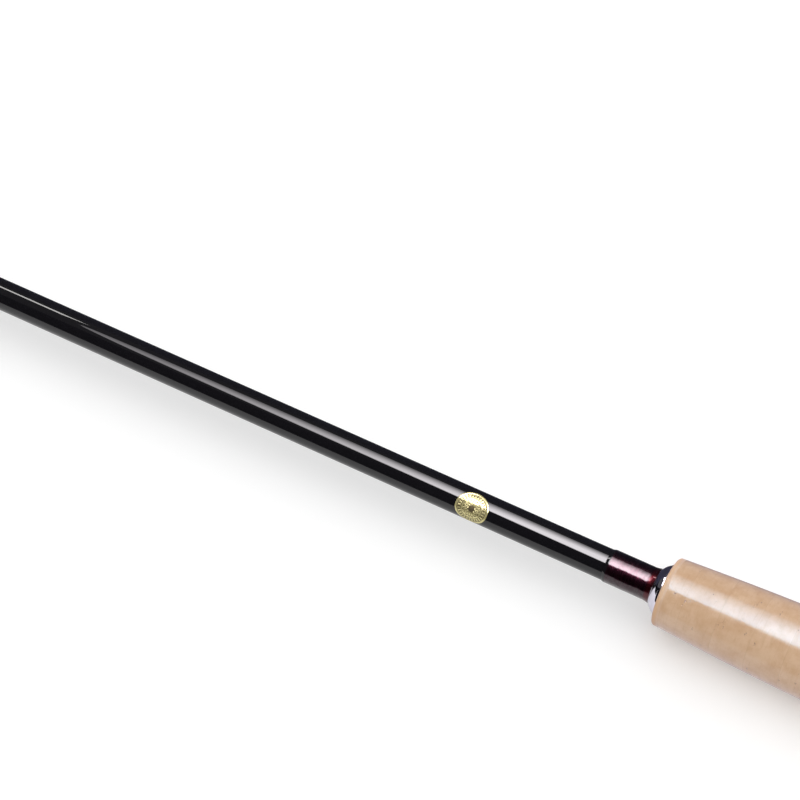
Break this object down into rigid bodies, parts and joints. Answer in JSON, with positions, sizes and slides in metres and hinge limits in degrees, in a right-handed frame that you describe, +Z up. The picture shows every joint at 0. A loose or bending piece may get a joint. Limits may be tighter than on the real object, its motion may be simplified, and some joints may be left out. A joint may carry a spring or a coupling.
{
  "type": "tenkara rod",
  "caption": "Collapsed telescopic fishing rod of nested tapered carbon tubes, with a double-swell cork grip, red winding, bright check ring, screwed butt cap and push-in tip plug.",
  "frame": {"origin": "on the ground, under the middle of the closed rod's length and width", "axes": "+X along the rod towards its butt cap, -X towards its tip, +Z up from the surface it lies on"},
  "size_m": [0.5702, 0.0296, 0.0296],
  "materials": {
    "carbon": "black carbon laminate under clear gloss lacquer",
    "winding": "dark red thread under clear gloss lacquer",
    "chrome": "polished chrome",
    "cork": "sealed natural cork with a soft gloss",
    "anodised": "black anodised, satin",
    "rubber": "matt black",
    "moulded": "moulded black, satin",
    "braid": "red braided thread"
  },
  "bodies": {
    "handle": {"handle_blank": "carbon", "grip_winding": "winding", "mouth_winding": "winding", "winding_check": "chrome", "butt_ferrule": "anodised", "cork_ring_01": "cork", "cork_ring_02": "cork", "cork_ring_03": "cork", "cork_ring_04": "cork", "cork_ring_05": "cork", "cork_ring_06": "cork", "cork_ring_07": "cork", "cork_ring_08": "cork", "cork_ring_09": "cork", "cork_ring_10": "cork", "cork_ring_11": "cork", "cork_ring_12": "cork", "cork_ring_13": "cork", "cork_ring_14": "cork", "cork_ring_15": "cork", "cork_ring_16": "cork", "cork_ring_17": "cork", "cork_ring_18": "cork", "cork_ring_19": "cork", "cork_ring_20": "cork", "cork_ring_21": "cork"},
    "cap_seal": {"cap_o_ring": "rubber"},
    "butt_cap": {"butt_cap": "anodised", "section_cushion": "rubber"},
    "section_6": {"section_6": "carbon"},
    "section_5": {"section_5": "carbon"},
    "section_4": {"section_4": "carbon"},
    "section_3": {"section_3": "carbon"},
    "section_2": {"section_2": "carbon"},
    "tip_section": {"tip_section": "carbon", "lilian": "braid"},
    "tip_plug": {"tip_plug": "moulded", "plug_o_ring_1": "rubber", "plug_o_ring_2": "rubber"}
  },
  "joints": [
    {"name": "section_6_slide", "type": "slide", "parent": "handle", "child": "section_6", "axis": [-1, 0, 0], "range_m": [0, 0.4913]},
    {"name": "section_5_slide", "type": "slide", "parent": "section_6", "child": "section_5", "axis": [-1, 0, 0], "range_m": [0, 0.4812]},
    {"name": "section_4_slide", "type": "slide", "parent": "section_5", "child": "section_4", "axis": [-1, 0, 0], "range_m": [0, 0.4817]},
    {"name": "section_3_slide", "type": "slide", "parent": "section_4", "child": "section_3", "axis": [-1, 0, 0], "range_m": [0, 0.4822]},
    {"name": "section_2_slide", "type": "slide", "parent": "section_3", "child": "section_2", "axis": [-1, 0, 0], "range_m": [0, 0.4837]},
    {"name": "tip_slide", "type": "slide", "parent": "section_2", "child": "tip_section", "axis": [-1, 0, 0], "range_m": [0, 0.4852]},
    {"name": "plug_pull", "type": "slide", "parent": "tip_section", "child": "tip_plug", "axis": [-1, 0, 0], "range_m": [0, 0.05]},
    {"name": "cap_travel", "type": "slide", "parent": "handle", "child": "cap_seal", "axis": [1, 0, 0], "range_m": [0, 0.006]},
    {"name": "cap_turn", "type": "hinge", "parent": "cap_seal", "child": "butt_cap", "pos_m": [0.28, 0, 0.01482], "axis": [1, 0, 0], "range_deg": [0, 2160]}
  ],
  "couplings": [
    {"joint": "cap_travel", "follows": "cap_turn", "m_per_rad": 0.00015915}
  ]
}
